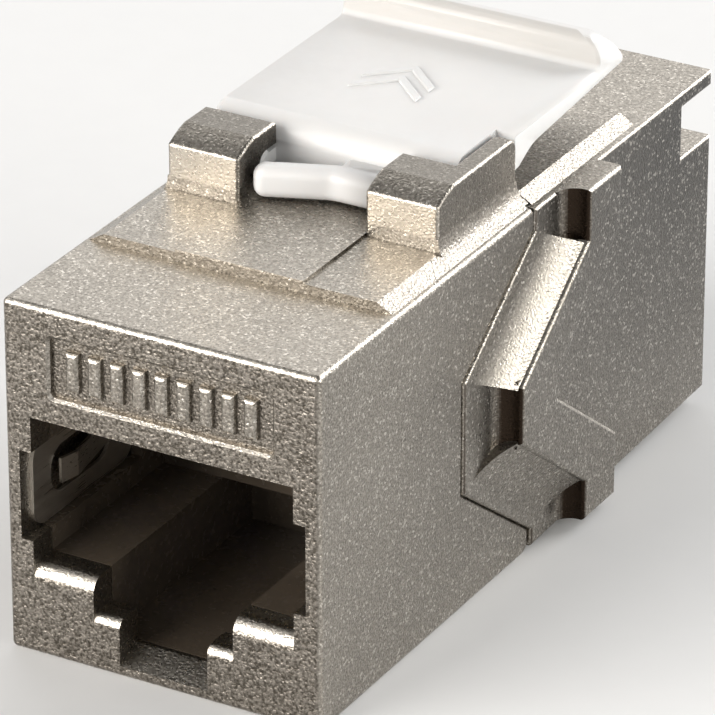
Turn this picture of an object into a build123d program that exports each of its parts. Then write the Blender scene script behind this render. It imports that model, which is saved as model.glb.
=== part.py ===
from build123d import *
import os

# In-line keystone jack: a coupler with a modular plug port at each end, in two die-cast shells,
# with a moulded latch on top. X runs across, Y runs back from the front face, Z is up.
# Everything is drawn with the front face at y = 0 and moved to the middle when it is written.
# All sizes are in millimetres.

os.makedirs("parts", exist_ok=True)

# Widths, from the plug opening outwards
port_width = 12.1
pocket_depth = 0.55
carrier_clearance = 0.05
side_wall = 0.6
rear_step = 0.1
step_width = 6.5
slot_width = 4.1

# Heights, from the underside upwards
floor_wall = 1.05
slot_height = 1.5
step_height = 1.55
plug_height = 6.65
carrier_roof = 1.15
board_stand = 0.5
board_thickness = 1.0
headroom = 1.6
roof_wall = 0.8

# Lengths, from the front face backwards
body_length = 33.6
rim_depth = 1.4
port_depth = 10.2
slot_depth = 12.6
carrier_gap = 0.2
carrier_slot_floor = 0.4
carrier_slot_wall = 0.35
carrier_core_depth = 3.0
carrier_core_wall = 1.2
shell_edge = 0.25

# Edges of the port at the mouth
shelf_round = 0.7
step_round = 0.45
lip_drop = 0.55
lip_depth = 1.2
rear_edge = 0.15
pocket_rise = 1.05
pocket_height = 4.0

# Recessed panel over the front port
panel_width = 10.2
panel_height = 2.65
panel_rise = 1.1
panel_depth = 0.3
panel_corner = 0.2
panel_edge = 0.12

# Zigzag seam between the shells
seam_y = 17.5
seam_point = 5.95
seam_leg = 1.0
seam_point_height = 5.1
seam_gap = 0.08
seam_foot_round = 0.5
seam_edge = 0.08
lap_length = 2.0
lap_thickness = 0.55
lap_clearance = 0.05
lap_width = 11.0
lap_root = 1.5

# Underside of the rear shell, which rises to the rear, and the rail below it
underside_start = 0.2
underside_end = 0.65
rail_width = 8.6

# Zigzag stop ribs on the sides
rib_proud = 1.1
rib_front = 20.25
rib_point = 5.7
rib_thickness = 2.85
rib_leg = 2.3
rib_point_height = 2.6
rib_back_top_leg = 2.75
rib_back_low_leg = 3.4
rib_foot_lift = 0.45
rib_back_point_height = 1.0
rib_fillet = 0.85
rib_edge = 0.2
ramp_margin = 0.15
ramp_sink = 0.03
root_overlap = 0.25

# Slot at the rear, under a thin ledge
ledge_thickness = 0.7
ledge_slot_depth = 2.75
ledge_slot_floor = 0.8
ledge_slot_wall = 1.05

# Pad on top
pad_front = 6.2
pad_length = 21.0
pad_height = 0.4
pad_inset = 0.95
pad_slope = 0.7
pad_end_round = 0.3
pad_middle_rise = 0.12
pad_seam_shift = 0.3
root_bite = 0.4

# Horns that hook over the hinge ears of the latch
horn_front = 11.2
horn_depth = 3.05
horn_inner = 2.95
horn_front_height = 2.02
horn_height = 2.52
horn_crown = 1.3
horn_cheek = 0.9
horn_edge = 0.16
root_width = 0.7
root_height = 1.0
arm_length = 3.55
arm_overlap = 0.5
arm_round = 0.5

# Hinge of the latch
hinge_back = 2.25
hinge_lift = 1.0
ear_radius = 0.5
ear_clearance = 0.07
ear_side_clearance = 0.12
ear_mouth = 0.58
lug_below = 0.3
lug_above = 0.28

# Latch
latch_clearance = 0.2
latch_side_clearance = 0.15
latch_inset = 0.15
latch_rise = 0.03
latch_length = 13.15
latch_block_lift = 0.35
latch_block_end_lift = 0.82
latch_block_length = 3.85
latch_curve_length = 1.2
latch_front_thickness = 1.15
latch_rear_thickness = 0.55
lip_back = 2.3
lip_height = 1.45
lip_crest = 0.7
lip_edge = 0.12
latch_curve_radius = 2.0
latch_corner = 1.0
latch_edge = 0.15
latch_bite = 0.4

# Front arm of the latch, between the horns
arm_bar_front = 0.25
arm_bar_sweep = 1.3
arm_bar_depth = 1.15
arm_bar_lift = 0.2
arm_bar_height = 1.45
arm_bar_bend = 0.45
arm_bar_end_gap = 0.2
arm_bar_round = 0.5
arm_bar_bend_round = 1.5
arm_web_drop = 0.12

# Contact wires
contact_count = 8
contact_pitch = 1.02
contact_size = 0.34
contact_bend = 0.4
contact_tail_y = 5.2
contact_tail_stagger = 1.2
contact_tail_above = 0.3
contact_tip_z = 7.75
contact_tip_run = 1.1
contact_tip_drop = 0.25
comb_width = 0.6
comb_depth = 1.4
comb_lead = 0.45
comb_drop = 0.6

# Circuit board
board_start = 4.2
board_width = 12.0
board_rail_width = 1.0
board_rail_inset = 0.4
board_rail_start = 8.0
board_rail_length = 6.0

# Ground springs in the side pockets
spring_thickness = 0.15
spring_length = 7.6
spring_start = 0.75
spring_clearance = 0.05
spring_corner = 0.9
spring_window_start = 1.3
spring_window_length = 4.6
spring_window_height = 2.1
tongue_width = 1.1
tongue_reach = 0.45

# Levels and places that follow from the sizes above
cavity_half = port_width / 2 + pocket_depth + carrier_clearance
body_half = cavity_half + side_wall
rear_half = body_half + rear_step
carrier_half = cavity_half - carrier_clearance
floor_top = floor_wall
step_z = floor_top + slot_height
shelf_z = step_z + step_height
port_top = shelf_z + plug_height
carrier_bottom = floor_top + carrier_clearance
carrier_top = port_top + carrier_roof
board_bottom = carrier_top + board_stand
board_top = board_bottom + board_thickness
cavity_top = board_top + headroom
body_height = cavity_top + roof_wall
middle_z = body_height / 2
pocket_half = carrier_half
pocket_low = shelf_z + pocket_rise
pocket_high = pocket_low + pocket_height
pad_half = body_half - pad_inset
pad_z = body_height + pad_height
pad_middle_z = pad_z + pad_middle_rise
horn_outer = pad_half
horn_rear = horn_front + horn_depth
horn_top = pad_z + horn_height
cheek_inner = horn_outer - horn_cheek
arm_rear = horn_rear + arm_length
latch_half = horn_outer - latch_inset
pad_seam = seam_y + pad_seam_shift
hinge_y = horn_front + hinge_back
hinge_z = pad_z + hinge_lift
plate_z = horn_top + latch_rise
latch_front = horn_rear + latch_clearance
latch_rear = latch_front + latch_length
spring_x = cavity_half - spring_clearance
keel_half = step_width / 2 + carrier_slot_wall
keel_bottom = floor_top - carrier_slot_floor
place = Pos(0, -body_length / 2, 0)
turn_round = Pos(0, body_length, 0) * Rot(0, 0, 180)


def block(x_from, x_to, y_from, y_to, z_from, z_to):
    """A straight block between two corners."""
    size = Box(x_to - x_from, y_to - y_from, z_to - z_from, align=(Align.MIN, Align.MIN, Align.MIN))
    return Pos(x_from, y_from, z_from) * size


def along_x(outline, x_from, x_to):
    """The solid of an outline in (y, z) that runs from x_from to x_to."""
    return Pos(x_from, 0, 0) * extrude(Plane.YZ * outline, x_to - x_from, dir=(1, 0, 0))


def along_y(outline, y_from, y_to):
    """The solid of an outline in (x, z) that runs from y_from to y_to."""
    return Pos(0, y_from, 0) * extrude(Plane.XZ * outline, y_to - y_from, dir=(0, 1, 0))


def rectangle(u_from, u_to, v_from, v_to):
    """A rectangle between two corners of a drawing plane."""
    return Pos(u_from, v_from) * Rectangle(u_to - u_from, v_to - v_from, align=(Align.MIN, Align.MIN))


def edges_near(part, test):
    """The edges of a part whose middle point passes a test."""
    return [edge for edge in part.edges() if test(edge.center())]


def close_to(value, target, within=0.02):
    """True where a coordinate lies on a plane."""
    return abs(value - target) < within


# Plug opening


def port_outline():
    """The mouth of a port seen from its own face: opening, side pockets, step and key slot."""
    opening = rectangle(-port_width / 2, port_width / 2, shelf_z, port_top)
    pockets = rectangle(-pocket_half, pocket_half, pocket_low, pocket_high)
    step = rectangle(-step_width / 2, step_width / 2, step_z, shelf_z)
    slot = rectangle(-slot_width / 2, slot_width / 2, floor_top, step_z)
    return opening + pockets + step + slot


def open_mouth(shell):
    """Cut the port through the rim at y = 0 and round the edges that guide the plug in."""
    shell = shell - along_y(port_outline(), -rim_depth, 2 * rim_depth)
    lead_in = Polygon((-rim_depth, floor_top - lip_drop), (0, floor_top - lip_drop), (lip_depth, floor_top),
                      (lip_depth, step_z), (-rim_depth, step_z))
    shell = shell - along_x(lead_in, -slot_width / 2, slot_width / 2)
    shelf_edges = edges_near(shell, lambda c: close_to(c.Y, 0) and close_to(c.Z, shelf_z))
    shell = fillet(shelf_edges, shelf_round)
    step_edges = edges_near(shell, lambda c: close_to(c.Y, 0) and close_to(c.Z, step_z))
    return fillet(step_edges, step_round)


# Shells


def seam_outline(shift):
    """The zigzag line between the shells, from the underside to the top, as points in (y, z)."""
    leg = seam_y + shift
    point = seam_y - seam_point + shift
    low = middle_z - seam_point_height / 2
    high = middle_z + seam_point_height / 2
    return [(leg, seam_leg), (point, low), (point, high), (leg, body_height - seam_leg)]


def make_horn(side):
    """One horn: a front wall, a crowned cap over the hinge ear, and a cheek on the outside."""
    crown_y = horn_front + horn_crown
    front_z = pad_z + horn_front_height
    crown_mid = (horn_front + 0.45 * horn_crown, front_z + 0.56 * (horn_top - front_z))
    foot = body_height - root_bite
    lines = Polyline((crown_y, horn_top), (horn_rear, horn_top), (horn_rear, foot), (horn_front, foot),
                     (horn_front, front_z))
    crown = ThreePointArc((horn_front, front_z), crown_mid, (crown_y, horn_top))
    horn = along_x(make_face(lines.edges() + crown.edges()), horn_inner, horn_outer)
    horn = fillet(edges_near(horn, lambda c: c.Z > pad_z and c.Y < horn_rear - 0.01
                             or close_to(c.Z, horn_top)), horn_edge)
    groove = along_x(Pos(hinge_y, hinge_z) * Circle(ear_radius + ear_clearance), 0, cheek_inner)
    mouth = block(0, cheek_inner, hinge_y, horn_rear + 1, pad_z, hinge_z + ear_mouth)
    horn = horn - groove - mouth
    return horn if side > 0 else mirror(horn, Plane.YZ)


def make_arm():
    """The wall that runs back from the cheek of the right-hand horn beside the latch."""
    arm = block(cheek_inner, horn_outer, horn_rear - arm_overlap, arm_rear, body_height - root_bite, horn_top)
    arm = fillet(edges_near(arm, lambda c: close_to(c.Y, arm_rear) and close_to(c.Z, horn_top)), arm_round)
    return fillet(edges_near(arm, lambda c: c.Z > horn_top - arm_round
                             and (close_to(c.X, horn_outer) or close_to(c.X, cheek_inner))), horn_edge)


def make_root(y_from, y_to):
    """The concave cast root along the outer face of the right-hand horn."""
    inner = horn_outer - horn_cheek / 2
    foot = horn_outer + root_width
    corner = rectangle(inner, foot, body_height - root_bite, body_height + root_height)
    hollow = Pos(foot, body_height + root_height) * Ellipse(root_width, root_height)
    return along_y(corner - hollow, y_from, y_to)


def pad_piece(y_from, y_to):
    """A stretch of the raised pad, with sloping sides."""
    foot = body_height - root_bite
    half = pad_half + pad_slope
    outline = Polygon((-half, foot), (half, foot), (half, body_height), (pad_half, pad_z), (-pad_half, pad_z),
                      (-half, body_height))
    return along_y(outline, y_from, y_to)


def make_rear_pad():
    """The pad on the rear shell, with a rounded end."""
    end = pad_front + pad_length
    pad = pad_piece(pad_seam + seam_gap, end)
    return fillet(edges_near(pad, lambda c: close_to(c.Y, end) and c.Z > body_height + 0.1), pad_end_round)


def cavity(y_from, y_to, z_to):
    """The space inside a shell for the carrier, with a channel in the floor for its keel."""
    half = keel_half + carrier_clearance
    channel = block(-half, half, y_from, y_to, keel_bottom - carrier_clearance, floor_top + 1)
    return block(-cavity_half, cavity_half, y_from, y_to, floor_top, z_to) + channel


def make_front_housing():
    """The front shell, up to the zigzag seam."""
    seam = seam_outline(0)
    outline = Polygon((0, 0), (seam_y, 0), *seam, (seam_y, body_height), (0, body_height))
    shell = along_x(outline, -body_half, body_half)
    shell = fillet(edges_near(shell, lambda c: close_to(c.Y, seam_y) and close_to(c.Z, 0)), seam_foot_round)
    front_edges = edges_near(shell, lambda c: close_to(c.Y, 0))
    long_edges = edges_near(shell, lambda c: close_to(abs(c.X), body_half) and c.Y < seam_y / 2 + 1
                            and (close_to(c.Z, 0) or close_to(c.Z, body_height)))
    shell = fillet(front_edges + long_edges, shell_edge)
    seam_edges = edges_near(shell, lambda c: close_to(abs(c.X), body_half) and c.Y > seam_y - seam_point - 0.1
                            and seam_leg < c.Z < body_height - seam_leg)
    shell = chamfer(seam_edges, seam_edge)
    shell = shell - cavity(rim_depth, seam_y + 1, cavity_top)
    shell = open_mouth(shell)
    panel_low = port_top + panel_rise
    panel = Pos(0, panel_low + panel_height / 2) * RectangleRounded(panel_width, panel_height, panel_corner)
    shell = shell - along_y(panel, -1, panel_depth)
    panel_edges = edges_near(shell, lambda c: close_to(c.Y, 0) and c.Z > panel_low - panel_edge
                             and c.Z < panel_low + panel_height + panel_edge
                             and abs(c.X) < panel_width / 2 + panel_edge)
    shell = chamfer(panel_edges, panel_edge)
    shell = shell + pad_piece(pad_front, pad_seam)
    shell = shell + block(-horn_inner, horn_inner, pad_front, pad_seam, body_height - root_bite, pad_middle_z)
    for side in (-1, 1):
        shell = shell + make_horn(side)
    shell = shell + make_arm() + make_root(horn_front, arm_rear)
    shell = shell + mirror(make_root(horn_front, horn_rear), Plane.YZ)
    return shell - block(-body_half, body_half, seam_y, arm_rear + 1, 0, body_height + seam_gap)


def make_rib():
    """The right-hand stop rib, as tall as the shell."""
    leg = rib_front
    point = rib_front - rib_point
    back = rib_front + rib_thickness
    back_point = point + rib_thickness + 0.3
    outline = Polygon((leg, rib_foot_lift), (back, rib_foot_lift), (back, rib_back_low_leg),
                      (back_point, middle_z - rib_back_point_height / 2),
                      (back_point, middle_z + rib_back_point_height / 2), (back, body_height - rib_back_top_leg),
                      (back, body_height), (leg, body_height), (leg, body_height - rib_leg),
                      (point, middle_z + rib_point_height / 2), (point, middle_z - rib_point_height / 2),
                      (leg, rib_leg))
    rib = along_x(outline, rear_half - side_wall / 2, rear_half + rib_proud)
    return fillet(edges_near(rib, lambda c: close_to(c.X, rear_half + rib_proud)), rib_edge)


def make_ramp():
    """The wide concave sweep from the upper slope of the seam to the upper slope of the rib."""
    rib_top = Vector(0, rib_front, body_height - rib_leg)
    rib_low = Vector(0, rib_front - rib_point, middle_z + rib_point_height / 2)
    seam_top = Vector(0, seam_y + seam_gap, body_height - seam_leg)
    seam_low = Vector(0, seam_y + seam_gap - seam_point, middle_z + seam_point_height / 2)
    down = (rib_low - rib_top).normalized()
    across = Plane(origin=rib_top - down * rib_leg, x_dir=(1, 0, 0), z_dir=down)
    reach = (seam_top - rib_top).dot(across.y_dir) - ramp_margin
    inside = rear_half - side_wall / 2
    high = rear_half + rib_proud - rib_edge
    start = (rear_half - ramp_sink, reach)
    sweep_arc = TangentArc(start, (high, 0), tangent=(0, -1))
    lines = Polyline((high, 0), (high, -root_overlap), (inside, -root_overlap), (inside, reach), start)
    profile = make_face(lines.edges() + sweep_arc.edges())
    length = (rib_low - rib_top).length + 2 * rib_leg
    ramp = extrude(across * profile, length, dir=down)
    bite = across.y_dir * root_overlap
    corners = [rib_top - bite, seam_top, seam_low, rib_low - bite]
    bounds = along_x(Polygon(*[(corner.Y, corner.Z) for corner in corners]), inside, high)
    return ramp & bounds


def make_upright_root(front, z_from, z_to):
    """The concave root in front of an upright face of the rib."""
    corner = rectangle(rear_half - side_wall / 2, rear_half + rib_fillet, front - rib_fillet, front + root_overlap)
    hollow = Pos(rear_half + rib_fillet, front - rib_fillet) * Circle(rib_fillet)
    return Pos(0, 0, z_from) * extrude(corner - hollow, z_to - z_from, dir=(0, 0, 1))


def make_rib_side():
    """The right-hand rib with its ramps and roots."""
    ramp = make_ramp()
    point = middle_z - rib_point_height / 2 - root_overlap
    rib = make_rib() + ramp + mirror(ramp, Plane.XY.offset(middle_z))
    rib = rib + make_upright_root(rib_front, body_height - rib_leg, body_height)
    rib = rib + make_upright_root(rib_front - rib_point, point, body_height - point)
    return rib + make_upright_root(rib_front, rib_foot_lift, rib_leg)


def make_rear_housing():
    """The rear shell, from the zigzag seam to the rear face."""
    seam = seam_outline(seam_gap)
    slot_front = body_length - ledge_slot_depth
    slot_top = body_height - ledge_thickness
    slot_low = carrier_top + carrier_clearance + ledge_slot_floor
    start = seam_y + seam_gap
    outline = Polygon((start, underside_start), *seam, (start, body_height), (body_length, body_height),
                      (body_length, slot_top), (slot_front, slot_top), (slot_front, slot_low),
                      (body_length, slot_low), (body_length, underside_end))
    shell = along_x(outline, -rear_half, rear_half)
    shell = fillet(edges_near(shell, lambda c: close_to(abs(c.X), rear_half)), rear_edge)
    rib = make_rib_side()
    shell = shell + rib + mirror(rib, Plane.YZ)
    shell = shell + make_rear_pad()
    shell = shell + block(-rail_width / 2, rail_width / 2, rib_front, body_length, 0, (floor_top + underside_end) / 2)
    inner_low = cavity(0, body_length - rim_depth, carrier_top + carrier_clearance)
    inner_top = cavity(0, slot_front - ledge_slot_wall, cavity_top)
    shell = shell - (inner_top + inner_low)
    lap_top = cavity_top - lap_clearance
    lap_low = lap_top - lap_thickness
    lap = block(-lap_width / 2, lap_width / 2, seam_y - lap_length, start + lap_root, lap_low, lap_top)
    lap = lap + block(-lap_width / 2, lap_width / 2, start, start + lap_root, lap_low, cavity_top + root_bite)
    shell = shell + lap
    return turn_round * open_mouth(turn_round * shell)


# Latch


def make_latch():
    """The moulded latch: plate and thumb lip, front arm, and the two hinge ears under the horns."""
    block_end = latch_front + latch_block_length
    curve_end = block_end + latch_curve_length
    lip_front = latch_rear - lip_back
    points = [
        (latch_front, pad_z + latch_block_lift),
        (latch_front, plate_z),
        (lip_front, plate_z),
        (lip_front, plate_z + lip_height),
        (lip_front + lip_crest, plate_z + lip_height),
        (latch_rear, plate_z - lip_edge),
        (latch_rear, plate_z - latch_rear_thickness),
        (curve_end, plate_z - latch_front_thickness),
        (block_end, pad_z + latch_block_end_lift),
    ]
    radii = [0.25, latch_corner, 0.3, 0.45, 0.5, 0.2, 0.2, latch_curve_radius, 0.3]
    side = make_face(FilletPolyline(*points, radius=radii, close=True).edges())
    plate = along_x(side, -latch_half, latch_half)
    plate = chamfer(edges_near(plate, lambda c: close_to(abs(c.X), latch_half)), latch_edge)
    notch = block(cheek_inner - latch_side_clearance, horn_outer + 1, latch_front - 1,
                  arm_rear + latch_side_clearance, pad_z, plate_z + 1)
    plate = plate - notch
    low = pad_z + arm_bar_lift
    high = low + arm_bar_height
    left = -horn_inner + arm_bar_end_gap
    right = horn_inner - latch_side_clearance
    bend_front = horn_front + arm_bar_front + arm_bar_sweep
    plan = Polygon((left, bend_front - arm_bar_sweep), (arm_bar_bend, bend_front), (right, bend_front),
                   (right, bend_front + arm_bar_depth), (arm_bar_bend, bend_front + arm_bar_depth),
                   (left, bend_front - arm_bar_sweep + arm_bar_depth))
    bar = Pos(0, 0, low) * extrude(plan, arm_bar_height, dir=(0, 0, 1))
    bar = fillet(edges_near(bar, lambda c: close_to(c.X, arm_bar_bend)), arm_bar_bend_round)
    end_edges = edges_near(bar, lambda c: close_to(c.X, left) and close_to(c.Z, (low + high) / 2))
    bar = fillet(end_edges, arm_bar_round)
    rim_edges = edges_near(bar, lambda c: c.X < right - 0.1 and (close_to(c.Z, low) or close_to(c.Z, high)))
    bar = fillet(rim_edges, arm_bar_round)
    web = block(arm_bar_bend, right, bend_front + arm_bar_depth / 2, latch_front + latch_bite,
                pad_z + latch_block_lift, high - arm_web_drop)
    bar = bar + web
    latch = plate + bar
    for side_sign in (-1, 1):
        ear_from = horn_inner + ear_side_clearance
        ear_to = cheek_inner - ear_side_clearance
        ear = along_x(Pos(hinge_y, hinge_z) * Circle(ear_radius), ear_from, ear_to)
        lug = block(ear_from, ear_to, hinge_y, latch_front + latch_bite, hinge_z - lug_below, hinge_z + lug_above)
        hinge = ear + lug
        latch = latch + (hinge if side_sign > 0 else mirror(hinge, Plane.YZ))
    return latch


# Inside


def contact_x(index):
    """Place of a contact wire across the port, counted from the left."""
    return (index - (contact_count - 1) / 2) * contact_pitch


def contact_tail(index):
    """Distance of a wire's tail from the front face: the tails stand in two rows."""
    return contact_tail_y + contact_tail_stagger * (index % 2)


def make_contact(index):
    """One spring wire: a tail down from the board, a slope into the port and a tip in the comb."""
    tail = contact_tail(index)
    top = board_top + contact_tail_above
    roof = port_top - contact_size
    tip = (port_depth + contact_tip_run, contact_tip_z - contact_tip_drop)
    path = Plane.YZ * FilletPolyline((tail, top), (tail, roof), (port_depth, contact_tip_z), tip,
                                     radius=contact_bend)
    section = Plane(origin=path @ 0, z_dir=path % 0) * Rectangle(contact_size, contact_size)
    return Pos(contact_x(index), 0, 0) * sweep(section, path=path)


def make_carrier():
    """The moulded insert of one port, with a comb slot for each wire."""
    rear = body_length / 2 - carrier_gap / 2
    front = rim_depth + carrier_clearance
    body = block(-carrier_half, carrier_half, front, rear, carrier_bottom, carrier_top)
    body = body - block(-port_width / 2, port_width / 2, 0, port_depth, shelf_z, port_top)
    body = body + block(-keel_half, keel_half, front, rear, keel_bottom, carrier_bottom)
    body = body - block(-step_width / 2, step_width / 2, 0, slot_depth, floor_top, shelf_z)
    window_end = spring_start + spring_length + 2 * spring_clearance
    body = body - block(-carrier_half, carrier_half, 0, window_end, pocket_low, pocket_high)
    core = block(-carrier_half + carrier_core_wall, carrier_half - carrier_core_wall, rear - carrier_core_depth,
                 rear, carrier_bottom + carrier_core_wall, carrier_top - carrier_core_wall)
    body = body - core
    for index in range(contact_count):
        x_from = contact_x(index) - comb_width / 2
        x_to = contact_x(index) + comb_width / 2
        start = contact_tail(index) - comb_lead
        low = contact_tip_z - comb_drop
        body = body - block(x_from, x_to, start, port_depth + comb_depth, port_top - 0.1,
                            port_top + carrier_roof / 2)
        body = body - block(x_from, x_to, port_depth - 0.1, port_depth + comb_depth, low,
                            port_top + carrier_roof / 2)
        body = body - block(x_from, x_to, start, start + 2 * comb_lead, port_top, carrier_top)
    rail_outer = board_width / 2 - board_rail_inset
    for side in (-1, 1):
        centre = side * (rail_outer - board_rail_width / 2)
        body = body + block(centre - board_rail_width / 2, centre + board_rail_width / 2, board_rail_start,
                            board_rail_start + board_rail_length, carrier_top, board_bottom)
    return body


def make_board():
    """The circuit board that joins the wires of both ports, with a hole for each tail."""
    board = block(-board_width / 2, board_width / 2, board_start, body_length - board_start, board_bottom, board_top)
    for index in range(contact_count):
        hole = Pos(contact_x(index), contact_tail(index), board_bottom - 1) * extrude(
            RegularPolygon(contact_size * 0.8, 8), board_thickness + 2, dir=(0, 0, 1))
        board = board - hole - turn_round * hole
    return board


def make_ground_spring(side):
    """One stamped shield spring, with a tongue that leans into the port."""
    low = pocket_low + spring_clearance
    height = pocket_height - 2 * spring_clearance
    middle = (spring_start + spring_length / 2, low + height / 2)
    sheet = Pos(*middle) * RectangleRounded(spring_length, height, spring_corner)
    window_mid = (spring_start + spring_window_start + spring_window_length / 2, low + height / 2)
    window = Pos(*window_mid) * RectangleRounded(spring_window_length, spring_window_height,
                                                 spring_window_height * 0.45)
    spring = along_x(sheet - window, spring_x - spring_thickness, spring_x)
    root = spring_start + spring_window_start + spring_window_length
    tip = spring_start + spring_window_start + 0.5
    path = Polyline((spring_x - spring_thickness / 2, root + 0.3, 0),
                    (spring_x - spring_thickness / 2, root - 0.5, 0),
                    (spring_x - spring_thickness / 2 - tongue_reach, tip + 0.9, 0),
                    (spring_x - spring_thickness / 2 - tongue_reach / 2, tip, 0))
    section = Plane(origin=path @ 0, z_dir=path % 0, x_dir=(0, 0, 1)) * Rectangle(tongue_width, spring_thickness)
    tongue = Pos(0, 0, low + height / 2) * sweep(section, path=path, transition=Transition.RIGHT)
    spring = spring + tongue
    return spring if side > 0 else mirror(spring, Plane.YZ)


def write(part, name):
    """Move a piece to its place and write it to its own file."""
    export_step(place * part, "parts/" + name + ".step")


front_housing = make_front_housing()
rear_housing = make_rear_housing()
latch = make_latch()
carrier = make_carrier()

write(front_housing, "front_housing")
write(rear_housing, "rear_housing")
write(latch, "latch")
write(carrier, "front_carrier")
write(turn_round * carrier, "rear_carrier")
write(make_board(), "circuit_board")
for number in range(contact_count):
    wire = make_contact(number)
    write(wire, "front_contact_" + str(number + 1))
    write(turn_round * wire, "rear_contact_" + str(number + 1))
for side_name, side in (("left", -1), ("right", 1)):
    spring = make_ground_spring(side)
    write(spring, "front_ground_spring_" + side_name)
    write(turn_round * make_ground_spring(-side), "rear_ground_spring_" + side_name)

print("body", round(2 * body_half, 2), round(body_length, 2), round(body_height, 2))
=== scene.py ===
# %% [markdown]
# # A keystone jack in Blender
# This lesson dresses a small in-line network coupler: two die-cast shells with a modular port at
# each end, and a white moulded latch on top. The solids come packed from CAD and stay as they are.
# Here they get their metals and plastics, the raised marks of the mould, a camera and soft light.

# %% Load the frame
import math

import bmesh
import bpy
from mathutils import Matrix, Vector


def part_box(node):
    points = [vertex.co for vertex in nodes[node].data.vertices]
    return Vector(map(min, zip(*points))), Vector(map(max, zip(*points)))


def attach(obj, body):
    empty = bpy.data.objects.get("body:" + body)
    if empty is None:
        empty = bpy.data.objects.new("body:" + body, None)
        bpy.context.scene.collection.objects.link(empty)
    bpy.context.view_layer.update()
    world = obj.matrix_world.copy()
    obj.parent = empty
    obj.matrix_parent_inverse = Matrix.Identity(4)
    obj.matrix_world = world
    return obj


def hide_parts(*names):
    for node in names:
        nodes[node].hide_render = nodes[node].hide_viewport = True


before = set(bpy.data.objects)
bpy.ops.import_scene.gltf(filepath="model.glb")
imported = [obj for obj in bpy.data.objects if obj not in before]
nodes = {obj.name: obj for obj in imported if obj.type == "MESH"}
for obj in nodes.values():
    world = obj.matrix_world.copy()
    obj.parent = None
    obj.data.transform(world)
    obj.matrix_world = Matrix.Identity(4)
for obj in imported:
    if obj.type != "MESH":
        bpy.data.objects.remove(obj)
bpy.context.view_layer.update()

# %% [markdown]
# ## Places to work from
# A mark sits on the face that carries it, so every place is read from the boxes of the CAD nodes
# and a few real sizes. One millimetre gets a name, because Blender counts in metres.

# %% Places on the shells and the latch
MM = 0.001
shell_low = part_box("front_housing")[0]
latch_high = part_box("latch")[1]
front_face = shell_low.y
shell_end = -front_face
recess_depth = 0.3 * MM
panel_floor = front_face + recess_depth
panel_centre_height = 13.17 * MM
shell_height = 15.8 * MM
shell_half_width = 7.27 * MM
front_mm, latch_mm = round(front_face / MM, 2), round(latch_high.z / MM, 2)
print("front face at", front_mm, "mm, latch top at", latch_mm, "mm")

# %% [markdown]
# ## Helpers for materials
# A procedural finish is a small network: a pattern, a ramp that picks the part of it we want, and
# a shader. These helpers keep each finish short. All patterns read Object coordinates, so they
# stay the same size on every piece and move with it.

# %% Material helpers


def new_finish(name):
    """A material with an empty Principled shader, and its Object coordinates."""
    finish = bpy.data.materials.new(name)
    finish.use_nodes = True
    tree = finish.node_tree
    shader = tree.nodes["Principled BSDF"]
    coordinates = tree.nodes.new("ShaderNodeTexCoord").outputs["Object"]
    return finish, tree, shader, coordinates


def noise(tree, coordinates, size, detail=2.0, roughness=0.5):
    """A noise pattern whose blotches are about `size` metres across."""
    node = tree.nodes.new("ShaderNodeTexNoise")
    node.inputs["Scale"].default_value = 1 / size
    node.inputs["Detail"].default_value = detail
    node.inputs["Roughness"].default_value = roughness
    tree.links.new(coordinates, node.inputs["Vector"])
    return node.outputs["Fac"]


def cells(tree, coordinates, size):
    """A random grey for each grain of about `size` metres."""
    node = tree.nodes.new("ShaderNodeTexVoronoi")
    node.inputs["Scale"].default_value = 1 / size
    tree.links.new(coordinates, node.inputs["Vector"])
    split = tree.nodes.new("ShaderNodeSeparateColor")
    tree.links.new(node.outputs["Color"], split.inputs["Color"])
    return split.outputs["Red"]


def remap(tree, value, low, high, to_low, to_high):
    """Stretch the part of a pattern between low and high to a new range, and clamp it there."""
    node = tree.nodes.new("ShaderNodeMapRange")
    sockets = ("From Min", "From Max", "To Min", "To Max")
    for socket, number in zip(sockets, (low, high, to_low, to_high)):
        node.inputs[socket].default_value = number
    tree.links.new(value, node.inputs["Value"])
    return node.outputs["Result"]


def blend_colours(tree, share, first, second):
    """Mix two colours by a pattern. Either colour may be a list of numbers or a node's output."""
    node = tree.nodes.new("ShaderNodeMix")
    node.data_type = "RGBA"
    tree.links.new(share, node.inputs["Factor"])
    sockets = [s for s in node.inputs if s.type == "RGBA"]
    for socket, colour in zip(sockets, (first, second)):
        if isinstance(colour, bpy.types.NodeSocket):
            tree.links.new(colour, socket)
        else:
            socket.default_value = (*colour, 1)
    return [s for s in node.outputs if s.type == "RGBA"][0]


def axis_of(tree, vector, axis, absolute=True):
    """One axis of a vector, without its sign unless that is wanted."""
    split = tree.nodes.new("ShaderNodeSeparateXYZ")
    tree.links.new(vector, split.inputs["Vector"])
    if not absolute:
        return split.outputs[axis]
    size = tree.nodes.new("ShaderNodeMath")
    size.operation = "ABSOLUTE"
    tree.links.new(split.outputs[axis], size.inputs[0])
    return size.outputs["Value"]


def rising(tree, vector, axis, start, end, absolute=True):
    """A mask that goes from zero at `start` to one at `end` along one axis of a vector."""
    return remap(tree, axis_of(tree, vector, axis, absolute), start, end, 0, 1)


def falling(tree, vector, axis, start, end, absolute=True):
    """A mask that goes from one at `start` to zero at `end` along one axis of a vector."""
    return remap(tree, axis_of(tree, vector, axis, absolute), start, end, 1, 0)


def combine(tree, operation, first, second):
    """Two patterns joined by one of a Math node's operations."""
    node = tree.nodes.new("ShaderNodeMath")
    node.operation = operation
    tree.links.new(first, node.inputs[0])
    tree.links.new(second, node.inputs[1])
    return node.outputs["Value"]


def both(tree, first, second):
    """The product of two patterns."""
    return combine(tree, "MULTIPLY", first, second)


def either(tree, first, second):
    """The larger of two patterns."""
    return combine(tree, "MAXIMUM", first, second)


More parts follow.
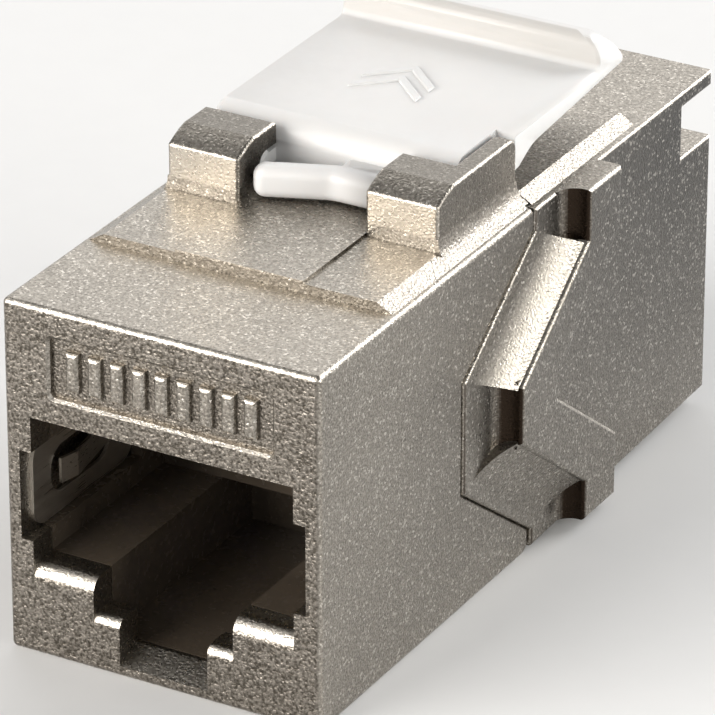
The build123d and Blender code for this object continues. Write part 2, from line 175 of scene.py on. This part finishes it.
def between(tree, vector, axis, low, high, fade, absolute=True):
    """One where an axis of a vector lies between two values, with a soft start and end."""
    start = rising(tree, vector, axis, low, low + fade, absolute)
    return both(tree, start, falling(tree, vector, axis, high - fade, high, absolute))


def scaled(tree, mask, share):
    """A mask made weaker, so that what it blends in keeps some of what was there."""
    return remap(tree, mask, 0, 1, 0, share)


def bump(tree, shader, height, depth, after=None):
    """Raise the surface by a pattern, by at most `depth` metres, on top of an earlier bump."""
    node = tree.nodes.new("ShaderNodeBump")
    node.inputs["Strength"].default_value = 1.0
    node.inputs["Distance"].default_value = depth
    tree.links.new(height, node.inputs["Height"])
    if after is not None:
        tree.links.new(after, node.inputs["Normal"])
    tree.links.new(node.outputs["Normal"], shader.inputs["Normal"])
    return node.outputs["Normal"]


def colour_by(tree, shader, pattern, first, second):
    """Colour a shader by a pattern, from one colour to another."""
    tree.links.new(blend_colours(tree, pattern, first, second), shader.inputs["Base Color"])


def roughness_by(tree, shader, pattern, low, high):
    """Let the middle of a pattern move a shader's roughness between two values."""
    tree.links.new(remap(tree, pattern, 0.3, 0.7, low, high), shader.inputs["Roughness"])


print("material helpers ready")

# %% [markdown]
# ## Where the zinc gets painted reflections
# The shifted tints are painted reflections: painted shade for dark parts, painted highlights for
# bright ones.
# A satin metal mirrors the room. In the photograph the ribs' stop faces, the horns' tops and sides,
# the slope of the pad and the upper rear of the sides mirror dark parts of it. The horns' fronts,
# the port lips, the ribs' slopes and the pad's roots mirror bright ones. A few soft panels can't
# do all that, so masks shift the tint there. Each mask reads a place and a direction. A real
# plate would be even, so this is a choice for the likeness, and it stays when the part turns.
#
# A face that looks along an axis has a normal of about one on it, and a slope has less.

# %% Masks by place and direction
facing, facing_fully = 0.95, 0.99


def end_faces(tree, coordinates, normal):
    """One on faces that look forward or back near the ends of a shell, else zero."""
    near_end = rising(tree, coordinates, "Y", shell_end - 0.5 * MM, shell_end - 0.3 * MM)
    return both(tree, near_end, rising(tree, normal, "Y", 0.7, 0.95))


def stop_faces(tree, coordinates, normal):
    """A mask for painted shade: one on forward, upright faces outside the shell's sides, else zero.
    """
    outside = rising(tree, coordinates, "X", shell_half_width, shell_half_width + 0.05 * MM)
    forward = falling(tree, normal, "Y", -0.7, -0.1, absolute=False)
    return both(tree, both(tree, outside, forward), falling(tree, normal, "Z", 0.08, 0.2))


def horn_zones(tree, coordinates, normal):
    """Masks for painted light: a highlight on the horns' front faces, shade on their tops and
    sides.
    """
    horn_foot = shell_height + 0.95 * MM
    high = rising(tree, coordinates, "Z", horn_foot, horn_foot + 0.1 * MM)
    forward = falling(tree, normal, "Y", -0.98, -0.90, absolute=False)
    upward = rising(tree, normal, "Z", facing, facing_fully)
    sideways = rising(tree, normal, "X", facing, facing_fully)
    return both(tree, high, forward), both(tree, high, either(tree, upward, sideways))


def pad_slope(tree, coordinates, normal):
    """One on the slope at the front of the top pad, which gets painted shade."""
    low, high = shell_height - 0.02 * MM, shell_height + 0.42 * MM
    start = rising(tree, coordinates, "Z", low, low + 0.01 * MM)
    band = both(tree, start, falling(tree, coordinates, "Z", high, high + 0.05 * MM))
    return both(tree, band, falling(tree, normal, "Y", -0.4, -0.2, absolute=False))


def rear_of_sides(tree, coordinates, normal):
    """A mask for painted shade, stronger towards the rear and the top of the sides."""
    shade_from, shade_fully, shade_top = -12 * MM, 14 * MM, 14 * MM
    rearward = rising(tree, coordinates, "Y", shade_from, shade_fully, absolute=False)
    upper = remap(tree, axis_of(tree, coordinates, "Z"), 0, shade_top, 0.1, 1)
    return both(tree, both(tree, rearward, upper), rising(tree, normal, "X", facing, facing_fully))


def bright_slopes(tree, coordinates, normal):
    """A mask for painted highlights: full on the port lips, less on the ribs' slopes, least on the
    pad's roots.
    """
    rib_share, root_share = 0.65, 0.4
    tilt_up = between(tree, normal, "Z", 0.15, 0.97, 0.2, absolute=False)
    leaning = between(tree, normal, "X", 0.2, 0.95, 0.15)
    near_end = rising(tree, coordinates, "Y", shell_end - 0.6 * MM, shell_end - 0.4 * MM)
    outside = rising(tree, coordinates, "X", shell_half_width, shell_half_width + 0.05 * MM)
    high = rising(tree, coordinates, "Z", shell_height - 0.1 * MM, shell_height - 0.05 * MM)
    lips_and_ribs = both(tree, either(tree, near_end, scaled(tree, outside, rib_share)), tilt_up)
    return either(tree, lips_and_ribs, both(tree, scaled(tree, high, root_share), leaning))


print("masks ready")

# %% [markdown]
# ## Nickel-plated die-cast zinc
# The shells are cast zinc with a satin nickel plate. The die leaves a fine pebbled skin, and the
# plate makes single grains flash. A fine noise makes the pebbles, as bump and as a lighter tint.
# Random grains give the flashes as painted glints: the brightest few get a light colour, and the
# roughness changes from grain to grain.
#
# The end faces are rougher, like leather. A second noise gives them that skin, as bump and as
# tint. The raised marks are of the same zinc without it.

# %% Zinc
zinc_dull, zinc_clear = (0.190, 0.172, 0.148), (0.228, 0.208, 0.181)
pebble_tint = (0.405, 0.373, 0.327)
painted_glint = (0.74, 0.70, 0.63)
skin_low, skin_high = (0.088, 0.077, 0.063), (0.315, 0.286, 0.250)
painted_rear_shade = (0.05, 0.048, 0.045)
horn_front_highlight = (0.54, 0.495, 0.43)
painted_dark_reflection = (0.085, 0.076, 0.063)
slope_highlight = (0.64, 0.59, 0.52)
stop_face_shade = (0.030, 0.021, 0.015)


def nickel_zinc(name, coarse_ends):
    """The satin zinc. The end faces of the shells may have a coarser, darker cast skin."""
    finish, tree, shader, coordinates = new_finish(name)
    geometry = tree.nodes.new("ShaderNodeNewGeometry")
    normal = geometry.outputs["True Normal"]
    shader.inputs["Metallic"].default_value = 1.0

    clouds = noise(tree, coordinates, 3 * MM, detail=3)
    pebbles = noise(tree, coordinates, 0.11 * MM, detail=2, roughness=0.6)
    flecks = cells(tree, coordinates, 0.092 * MM)
    tint = blend_colours(tree, remap(tree, clouds, 0.35, 0.65, 0, 1), zinc_dull, zinc_clear)
    tint = blend_colours(tree, remap(tree, pebbles, 0.36, 0.64, 0, 1), tint, pebble_tint)

    # Painted shade: the sides darken towards the rear and the top.
    rear_side = rear_of_sides(tree, coordinates, normal)
    tint = blend_colours(tree, scaled(tree, rear_side, 0.85), tint, painted_rear_shade)
    # Painted glints: the brightest grains get a light colour.
    tint = blend_colours(tree, remap(tree, flecks, 0.87, 1.0, 0, 0.75), tint, painted_glint)
    tint = blend_colours(tree, scaled(tree, rear_side, 0.35), tint, painted_rear_shade)

    raised = bump(tree, shader, noise(tree, coordinates, 0.40 * MM, detail=1), 0.006 * MM)
    raised = bump(tree, shader, pebbles, 0.033 * MM, after=raised)
    if coarse_ends:
        ends = end_faces(tree, coordinates, normal)
        worms = noise(tree, coordinates, 0.125 * MM, detail=2, roughness=0.5)
        skin = blend_colours(tree, remap(tree, worms, 0.35, 0.65, 0, 1), skin_low, skin_high)
        tint = blend_colours(tree, ends, tint, skin)
        bump(tree, shader, both(tree, ends, worms), 0.036 * MM, after=raised)

    # Painted highlight on the horns' fronts, painted shade on their tops and sides.
    horn_fronts, horn_tops = horn_zones(tree, coordinates, normal)
    tint = blend_colours(tree, scaled(tree, horn_fronts, 0.6), tint, horn_front_highlight)
    tint = blend_colours(tree, scaled(tree, horn_tops, 0.6), tint, painted_dark_reflection)
    # Painted shade on the slope at the front of the pad.
    slope = pad_slope(tree, coordinates, normal)
    tint = blend_colours(tree, scaled(tree, slope, 0.5), tint, painted_dark_reflection)
    # Painted highlights on the port lips, the ribs' slopes and the pad's roots.
    bright = bright_slopes(tree, coordinates, geometry.outputs["Normal"])
    tint = blend_colours(tree, scaled(tree, bright, 0.7), tint, slope_highlight)
    # Painted shade on the ribs' stop faces.
    tint = blend_colours(tree, stop_faces(tree, coordinates, normal), tint, stop_face_shade)

    tree.links.new(tint, shader.inputs["Base Color"])
    tree.links.new(remap(tree, flecks, 0.0, 1.0, 0.33, 0.26), shader.inputs["Roughness"])
    print(name, "has", len(tree.nodes), "nodes")
    return finish


zinc = nickel_zinc("satin_nickel_zinc", coarse_ends=True)
mark_zinc = nickel_zinc("smooth_nickel_zinc", coarse_ends=False)

# %% [markdown]
# ## Moulded plastics
# The latch is a white plastic that lets a little light in, so its thin edges glow. A touch of
# subsurface scattering does that. The front of the thumb lip is a little warmer and darker, as in
# the photograph. The port inserts are a dark plastic with a faint moulded grain.

# %% Latch plastic
white_cool, white_warm = (0.640, 0.637, 0.637), (0.680, 0.674, 0.666)
painted_lip_shade = (0.525, 0.510, 0.490)
lip_from, lip_fully = 18.8 * MM, 19.0 * MM

white_plastic, tree, shader, coordinates = new_finish("white_latch_plastic")
tint = blend_colours(tree, noise(tree, coordinates, 4 * MM, detail=2), white_cool, white_warm)
normal = tree.nodes.new("ShaderNodeNewGeometry").outputs["True Normal"]
# Painted shade: the front of the thumb lip is made warmer and darker than the rest.
on_lip = rising(tree, coordinates, "Z", lip_from, lip_fully)
forward = falling(tree, normal, "Y", -0.35, -0.15, absolute=False)
colour_by(tree, shader, both(tree, on_lip, forward), tint, painted_lip_shade)
shader.inputs["Subsurface Weight"].default_value = 0.25
shader.inputs["Subsurface Radius"].default_value = (0.6, 0.5, 0.45)
shader.inputs["Subsurface Scale"].default_value = 0.8 * MM
roughness_by(tree, shader, noise(tree, coordinates, 0.5 * MM), 0.36, 0.48)
bump(tree, shader, noise(tree, coordinates, 0.25 * MM), 0.003 * MM)
print("white plastic has", len(tree.nodes), "nodes")

# %% Insert plastic
insert_dark, insert_light = (0.050, 0.039, 0.029), (0.085, 0.068, 0.051)

dark_plastic, tree, shader, coordinates = new_finish("dark_insert_plastic")
mist = noise(tree, coordinates, 2 * MM, detail=3)
colour_by(tree, shader, mist, insert_dark, insert_light)
roughness_by(tree, shader, noise(tree, coordinates, 0.4 * MM), 0.20, 0.30)
bump(tree, shader, noise(tree, coordinates, 0.15 * MM), 0.002 * MM)
print("dark plastic has", len(tree.nodes), "nodes")

# %% [markdown]
# ## Board and springs
# The board is green solder mask over woven glass, whose threads show faintly. The contact wires
# are gold over nickel, drawn in one direction, and the ground springs are rolled steel with fine
# lines along the strip. A Mapping node stretches a noise into such lines.

# %% Lines along a direction


def drawn_lines(tree, coordinates, across, along):
    """A noise stretched along Y, for metal that was drawn or rolled front to back."""
    mapping = tree.nodes.new("ShaderNodeMapping")
    mapping.inputs["Scale"].default_value = (1 / across, 1 / along, 1 / across)
    tree.links.new(coordinates, mapping.inputs["Vector"])
    return noise(tree, mapping.outputs["Vector"], 1.0, detail=3)


# %% Board, contact and spring finishes
board_mask, tree, shader, coordinates = new_finish("green_board")
weave = drawn_lines(tree, coordinates, 0.2 * MM, 1.2 * MM)
colour_by(tree, shader, weave, (0.02, 0.10, 0.05), (0.05, 0.20, 0.10))
shader.inputs["Roughness"].default_value = 0.35
bump(tree, shader, weave, 0.004 * MM)

gold, tree, shader, coordinates = new_finish("gold_contact")
lines = drawn_lines(tree, coordinates, 0.05 * MM, 1.5 * MM)
colour_by(tree, shader, lines, (0.80, 0.58, 0.24), (0.93, 0.74, 0.38))
shader.inputs["Metallic"].default_value = 1.0
roughness_by(tree, shader, lines, 0.18, 0.32)

spring_steel, tree, shader, coordinates = new_finish("rolled_spring_steel")
lines = drawn_lines(tree, coordinates, 0.06 * MM, 2.0 * MM)
colour_by(tree, shader, lines, (0.60, 0.57, 0.52), (0.80, 0.76, 0.70))
shader.inputs["Metallic"].default_value = 1.0
roughness_by(tree, shader, lines, 0.26, 0.42)
bump(tree, shader, lines, 0.002 * MM)
print("board, contact and spring finishes ready")

# %% [markdown]
# ## Finish the CAD pieces
# Each CAD node keeps its shape and gets its finish in its material slots. A word in its name
# tells what it is made of, so a short table is enough for all the pieces.

# %% Give each node its finish
finish_of = {"housing": zinc, "latch": white_plastic, "carrier": dark_plastic,
             "board": board_mask, "contact": gold, "spring": spring_steel}
for name, node in nodes.items():
    word = next(word for word in finish_of if word in name)
    node.data.materials.clear()
    node.data.materials.append(finish_of[word])
print("finished", len(nodes), "CAD pieces")

# %% [markdown]
# ## Raised marks
# The die leaves raised marks in the front recess and on the latch. Here the recess gets a row of
# plain bars and the latch an arrow towards its lip. Each mark starts as a cube or a flat outline,
# is extruded, and has its upper edges bevelled, because no cast edge is sharp.

# %% Mark helpers


def soften(bm, edges, width, segments=2):
    """Bevel some edges of a mesh."""
    bmesh.ops.bevel(bm, geom=edges, offset=width, offset_type="OFFSET", segments=segments,
                    profile=0.5, affect="EDGES", material=-1)


def finished_piece(name, bm, finish, body):
    """Turn a bmesh into a piece that rides on a CAD body."""
    bmesh.ops.remove_doubles(bm, verts=bm.verts, dist=1e-7)
    bmesh.ops.recalc_face_normals(bm, faces=bm.faces)
    mesh = bpy.data.meshes.new(name)
    bm.to_mesh(mesh)
    bm.free()
    mesh.materials.append(finish)
    piece = bpy.data.objects.new(name, mesh)
    bpy.context.scene.collection.objects.link(piece)
    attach(piece, body)
    print(name, "has", len(mesh.polygons), "faces")
    return piece


# %% Bars in the front recess
bar_count = 9
bar_pitch = 1.02 * MM
bar_width = 0.62 * MM
bar_height = 1.75 * MM
bar_proud = 0.28 * MM
bar_sunk = 0.1 * MM
bar_bevel = 0.17 * MM

bm = bmesh.new()
size = Matrix.Diagonal((bar_width, bar_proud + bar_sunk, bar_height, 1))
for index in range(bar_count):
    across = (index - (bar_count - 1) / 2) * bar_pitch
    centre = Vector((across, panel_floor + (bar_sunk - bar_proud) / 2, panel_centre_height))
    bmesh.ops.create_cube(bm, size=1, matrix=Matrix.Translation(centre) @ size)
proud_of = panel_floor - 0.1 * MM
front_edges = [edge for edge in bm.edges if all(v.co.y < proud_of for v in edge.verts)]
soften(bm, front_edges, bar_bevel, segments=4)
finished_piece("recess_bars", bm, mark_zinc, "body")

# %% [markdown]
# ## Round lip ends
# The ends of the thumb lip are round on the real latch, so that they don't scratch a finger. The
# CAD node has them square. A copy of its mesh gets cuts at a few heights, and then the points of
# the lip's ends slide inwards, the more the higher they are. Each end becomes a quarter circle
# and the rest stays as it is. Cuts and slides keep the mesh closed, which a boolean may not.

# %% Latch with rounded lip ends
lip_round = 1.25 * MM
lip_steps = 7
lip_round_from = latch_high.z - lip_round
end_zone = latch_high.x - 0.25 * MM
sharp_angle = math.radians(30)

bm = bmesh.new()
bm.from_mesh(nodes["latch"].data)
bmesh.ops.remove_doubles(bm, verts=bm.verts, dist=1e-7)
for step in range(1, lip_steps):
    height = lip_round_from + lip_round * math.sin(math.pi / 2 * step / lip_steps)
    whole_mesh = bm.verts[:] + bm.edges[:] + bm.faces[:]
    bmesh.ops.bisect_plane(bm, geom=whole_mesh, plane_co=(0, 0, height), plane_no=(0, 0, 1))
slid = 0
for vert in bm.verts:
    above = vert.co.z - lip_round_from
    if above > 0 and abs(vert.co.x) > end_zone:
        slide = lip_round - math.sqrt(max(lip_round ** 2 - above ** 2, 0))
        vert.co.x -= math.copysign(slide, vert.co.x)
        slid += 1
print("slid", slid, "points of the lip")
moulded_latch = finished_piece("moulded_latch", bm, white_plastic, "latch")
latch_mesh = moulded_latch.data
latch_mesh.polygons.foreach_set("use_smooth", [True] * len(latch_mesh.polygons))
latch_mesh.set_sharp_from_angle(angle=sharp_angle)
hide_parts("latch")

# %% [markdown]
# ## Latch arrow
# The arrow is two raised chevrons that point to the lip. Each one is a flat outline a little below
# the plate's top, extruded to just above it, so no gap shows under it.

# %% Arrow on the latch
plate_top = 18.75 * MM
arrow_tip = Vector((-0.5 * MM, 5.0 * MM, plate_top))
arrow_half_width = 1.6 * MM
arrow_rise = 1.5 * MM
arrow_stroke = 0.5 * MM
arrow_proud = 0.1 * MM
arrow_sunk = 0.05 * MM
arrow_bevel = 0.05 * MM
chevron_pitch = 1.15 * MM

side, rise, foot = arrow_half_width, -arrow_rise, -arrow_rise - arrow_stroke
outline = [(0, 0), (side, rise), (side, foot), (0, -arrow_stroke), (-side, foot), (-side, rise)]
bm = bmesh.new()
for back in (0, chevron_pitch):
    points = [bm.verts.new(arrow_tip + Vector((x, y - back, -arrow_sunk))) for x, y in outline]
    raised_part = bmesh.ops.extrude_face_region(bm, geom=[bm.faces.new(points)])
    top = [v for v in raised_part["geom"] if isinstance(v, bmesh.types.BMVert)]
    bmesh.ops.translate(bm, verts=top, vec=(0, 0, arrow_proud + arrow_sunk))
top_edges = [edge for edge in bm.edges if all(v.co.z > plate_top for v in edge.verts)]
soften(bm, top_edges, arrow_bevel)
finished_piece("latch_arrow", bm, white_plastic, "latch")

# %% [markdown]
# ## Camera
# The photograph was taken from a distance with a long lens, a little to the right and above. The
# camera's place and focal length come from its perspective, so the render lines up with it.

# %% Camera
image_width = 715
focal_pixels = 6078
camera_place = Vector((111.17, -197.50, 121.65)) * MM
turn = math.radians(29.50)
tilt = math.radians(26.72)

camera_data = bpy.data.cameras.new("camera")
camera_data.sensor_width = 36
camera_data.lens = focal_pixels / image_width * camera_data.sensor_width
camera_data.clip_start = 0.01
camera_data.clip_end = 10
camera = bpy.data.objects.new("camera", camera_data)
bpy.context.scene.collection.objects.link(camera)
camera.location = camera_place
level = math.cos(tilt)
looking = Vector((-math.sin(turn) * level, math.cos(turn) * level, -math.sin(tilt)))
camera.rotation_mode = "QUATERNION"
camera.rotation_quaternion = looking.to_track_quat("-Z", "Y")
bpy.context.scene.camera = camera
print("lens", round(camera_data.lens, 1), "mm")

# %% [markdown]
# ## Floor and light
# Metal shows what is round it more than its own colour, so the light matters as much as the
# finish. Two soft panels low behind the jack brighten its top and bevels, as in a light tent. A
# strong one at the front left lights the front and the horns, and one at the right gives the side
# its grey. Two weak ones above fill the rest. The floor is plain and pale.
#
# To find them, panels from many directions were rendered one at a time, and a fit to the
# photograph's tones picked the first four. Trial renders then set their final places, sizes and
# radiances, and added the two weak ones.

# %% Floor
floor_half_size = 1.5

floor_finish, tree, shader, coordinates = new_finish("pale_floor")
paper = noise(tree, coordinates, 2 * MM, detail=2)
colour_by(tree, shader, paper, (0.70, 0.70, 0.70), (0.72, 0.72, 0.72))
shader.inputs["Roughness"].default_value = 0.8
bm = bmesh.new()
bmesh.ops.create_grid(bm, x_segments=1, y_segments=1, size=floor_half_size)
floor_mesh = bpy.data.meshes.new("floor")
bm.to_mesh(floor_mesh)
bm.free()
floor_mesh.materials.append(floor_finish)
floor = bpy.data.objects.new("floor", floor_mesh)
bpy.context.scene.collection.objects.link(floor)

# %% Soft panels
panel_distance = 600 * MM
aim = Vector((0, 0, 10 * MM))


def soft_panel(name, direction, size, radiance, colour=(1, 1, 1)):
    """A square area light that faces the jack. Its power follows from its radiance."""
    towards = Vector(direction).normalized()
    data = bpy.data.lights.new(name, "AREA")
    data.shape = "SQUARE"
    data.size = size
    data.energy = math.pi * size ** 2 * radiance
    data.color = colour
    lamp = bpy.data.objects.new(name, data)
    bpy.context.scene.collection.objects.link(lamp)
    lamp.location = panel_distance * towards + aim
    lamp.rotation_mode = "QUATERNION"
    lamp.rotation_quaternion = (-towards).to_track_quat("-Z", "Y")
    print(name, round(data.energy, 2), "W")


soft_panel("panel_behind_left", (-0.46, 0.72, 0.52), 0.50, 1.70, (1.0, 0.99, 0.98))
soft_panel("panel_behind_right", (0.40, 0.82, 0.42), 0.36, 8.1)
soft_panel("panel_right", (0.97, -0.05, 0.15), 0.35, 8.5, (1.0, 0.99, 0.95))
soft_panel("panel_front_left", (-0.50, -0.82, 0.25), 0.46, 9.8, (1.0, 0.965, 0.92))
soft_panel("panel_above", (-0.44, -0.35, 0.80), 0.40, 0.8)
soft_panel("panel_front_right", (0.46, -0.72, 0.52), 0.50, 0.7)
world = bpy.data.worlds.new("studio")
world.use_nodes = True
background = world.node_tree.nodes["Background"]
background.inputs["Color"].default_value = (1, 1, 1, 1)
background.inputs["Strength"].default_value = 0.10
bpy.context.scene.world = world
bpy.context.scene.view_settings.view_transform = "Standard"
print("lights ready")
